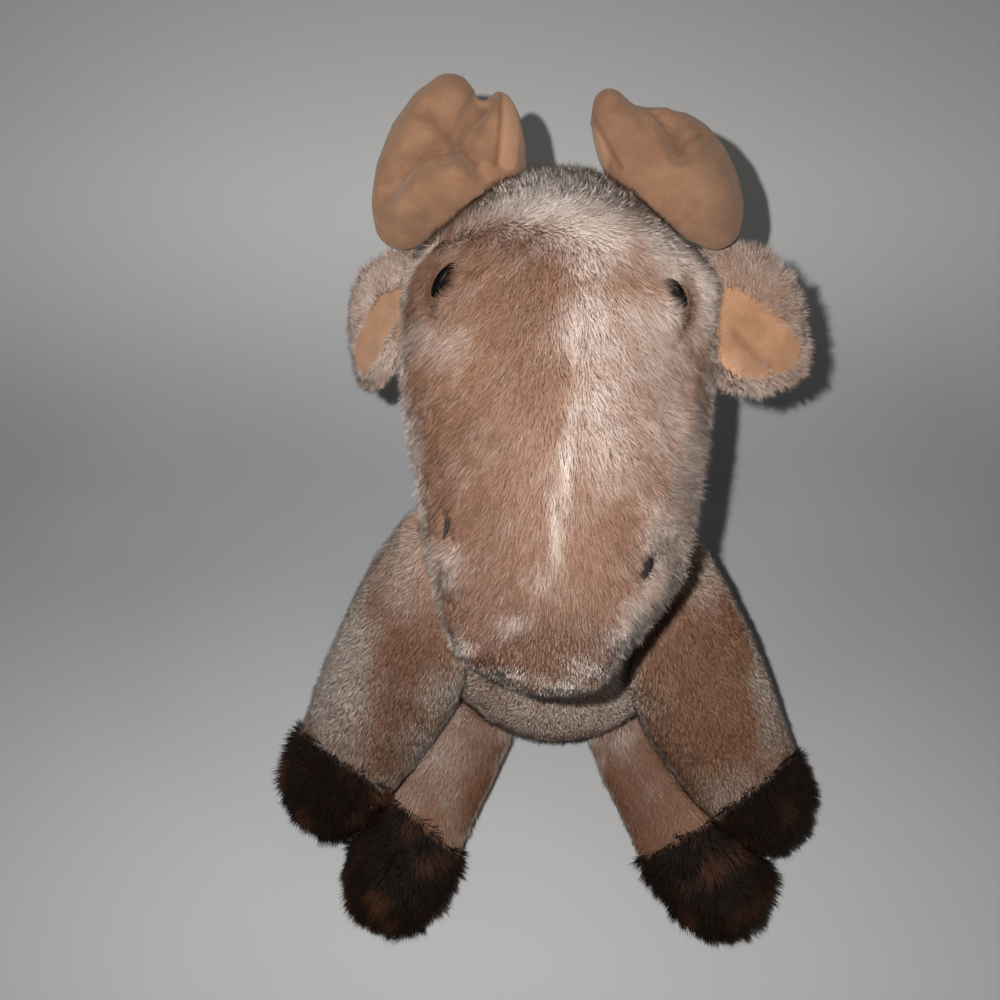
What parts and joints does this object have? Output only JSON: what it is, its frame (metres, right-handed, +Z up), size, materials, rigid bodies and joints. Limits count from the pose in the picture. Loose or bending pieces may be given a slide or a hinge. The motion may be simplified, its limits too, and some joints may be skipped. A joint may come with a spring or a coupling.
{
  "type": "plush deer",
  "caption": "Seated stuffed plush deer with a long muzzle, lobed felt antlers, hanging ears, dark shaggy hooves and a short tail.",
  "frame": {"origin": "on the floor, in the middle of the flat patch that the rump rests on", "axes": "+Z up, -Y the way the toy faces, +X towards the toy's left side"},
  "size_m": [0.1635, 0.1872, 0.1724],
  "materials": {
    "fur_tan": "short plush pile, tan with pale frosted tips",
    "fur_leg": "short plush pile, warm brown",
    "fur_dark": "shaggy plush pile, nearly black brown",
    "felt_peach": "brushed peach felt",
    "eye_black": "moulded, polished black",
    "thread_black": "satin stitched thread, black",
    "fibre_white": "loose fibre filling",
    "bag_white": "woven bag of pellets",
    "washer_white": "moulded washer"
  },
  "bodies": {
    "torso": {"belly_panel": "fur_tan", "body_side_left": "fur_tan", "body_side_right": "fur_tan", "body_stuffing": "fibre_white", "pellet_bag": "bag_white"},
    "head": {"head_side_left": "fur_tan", "head_side_right": "fur_tan", "head_stuffing": "fibre_white", "eye_left": "eye_black", "eye_washer_left": "washer_white", "nostril_left": "thread_black", "antler_front_left": "felt_peach", "antler_back_left": "felt_peach", "antler_stuffing_left": "fibre_white", "eye_right": "eye_black", "eye_washer_right": "washer_white", "nostril_right": "thread_black", "antler_front_right": "felt_peach", "antler_back_right": "felt_peach", "antler_stuffing_right": "fibre_white"},
    "tail_body": {"tail": "fur_tan"},
    "ear_left": {"ear_back_left": "fur_tan", "ear_lining_left": "felt_peach"},
    "front_limb_left": {"front_leg_left": "fur_leg", "front_hoof_left": "fur_dark", "front_leg_stuffing_left": "fibre_white"},
    "hind_limb_left": {"hind_leg_left": "fur_leg", "hind_hoof_left": "fur_dark", "hind_leg_stuffing_left": "fibre_white"},
    "ear_right": {"ear_back_right": "fur_tan", "ear_lining_right": "felt_peach"},
    "front_limb_right": {"front_leg_right": "fur_leg", "front_hoof_right": "fur_dark", "front_leg_stuffing_right": "fibre_white"},
    "hind_limb_right": {"hind_leg_right": "fur_leg", "hind_hoof_right": "fur_dark", "hind_leg_stuffing_right": "fibre_white"}
  },
  "joints": [
    {"name": "neck_nod", "type": "hinge", "parent": "torso", "child": "head", "pos_m": [0, 0.01284, 0.09298], "axis": [1, 0, 0], "range_deg": [-12, 14], "stiffness_Nm_per_rad": 0.2},
    {"name": "ear_left_flap", "type": "hinge", "parent": "head", "child": "ear_left", "pos_m": [0.03209, 0.05716, 0.1467], "axis": [0, -1, 0], "range_deg": [-7, 10]},
    {"name": "ear_right_flap", "type": "hinge", "parent": "head", "child": "ear_right", "pos_m": [-0.03209, 0.05716, 0.1467], "axis": [0, 1, 0], "range_deg": [-3, 20]},
    {"name": "shoulder_left_lift", "type": "hinge", "parent": "torso", "child": "front_limb_left", "pos_m": [0, 0.01284, 0.09298], "axis": [0.2, -0.9798, 0], "range_deg": [0, 45], "stiffness_Nm_per_rad": 0.2},
    {"name": "shoulder_right_lift", "type": "hinge", "parent": "torso", "child": "front_limb_right", "pos_m": [0, 0.01284, 0.09298], "axis": [0.2, 0.9798, 0], "range_deg": [0, 45], "stiffness_Nm_per_rad": 0.2},
    {"name": "hip_left_drop", "type": "hinge", "parent": "torso", "child": "hind_limb_left", "pos_m": [0, 0, 0.0395], "axis": [0.7071, 0, -0.7071], "range_deg": [0, 30], "stiffness_Nm_per_rad": 0.2},
    {"name": "hip_right_drop", "type": "hinge", "parent": "torso", "child": "hind_limb_right", "pos_m": [0, 0, 0.0395], "axis": [0.7071, 0, 0.7071], "range_deg": [0, 30], "stiffness_Nm_per_rad": 0.2},
    {"name": "tail_lift", "type": "hinge", "parent": "torso", "child": "tail_body", "pos_m": [0, 0.03961, 0.03393], "axis": [1, 0, 0], "range_deg": [-6, 15]}
  ]
}
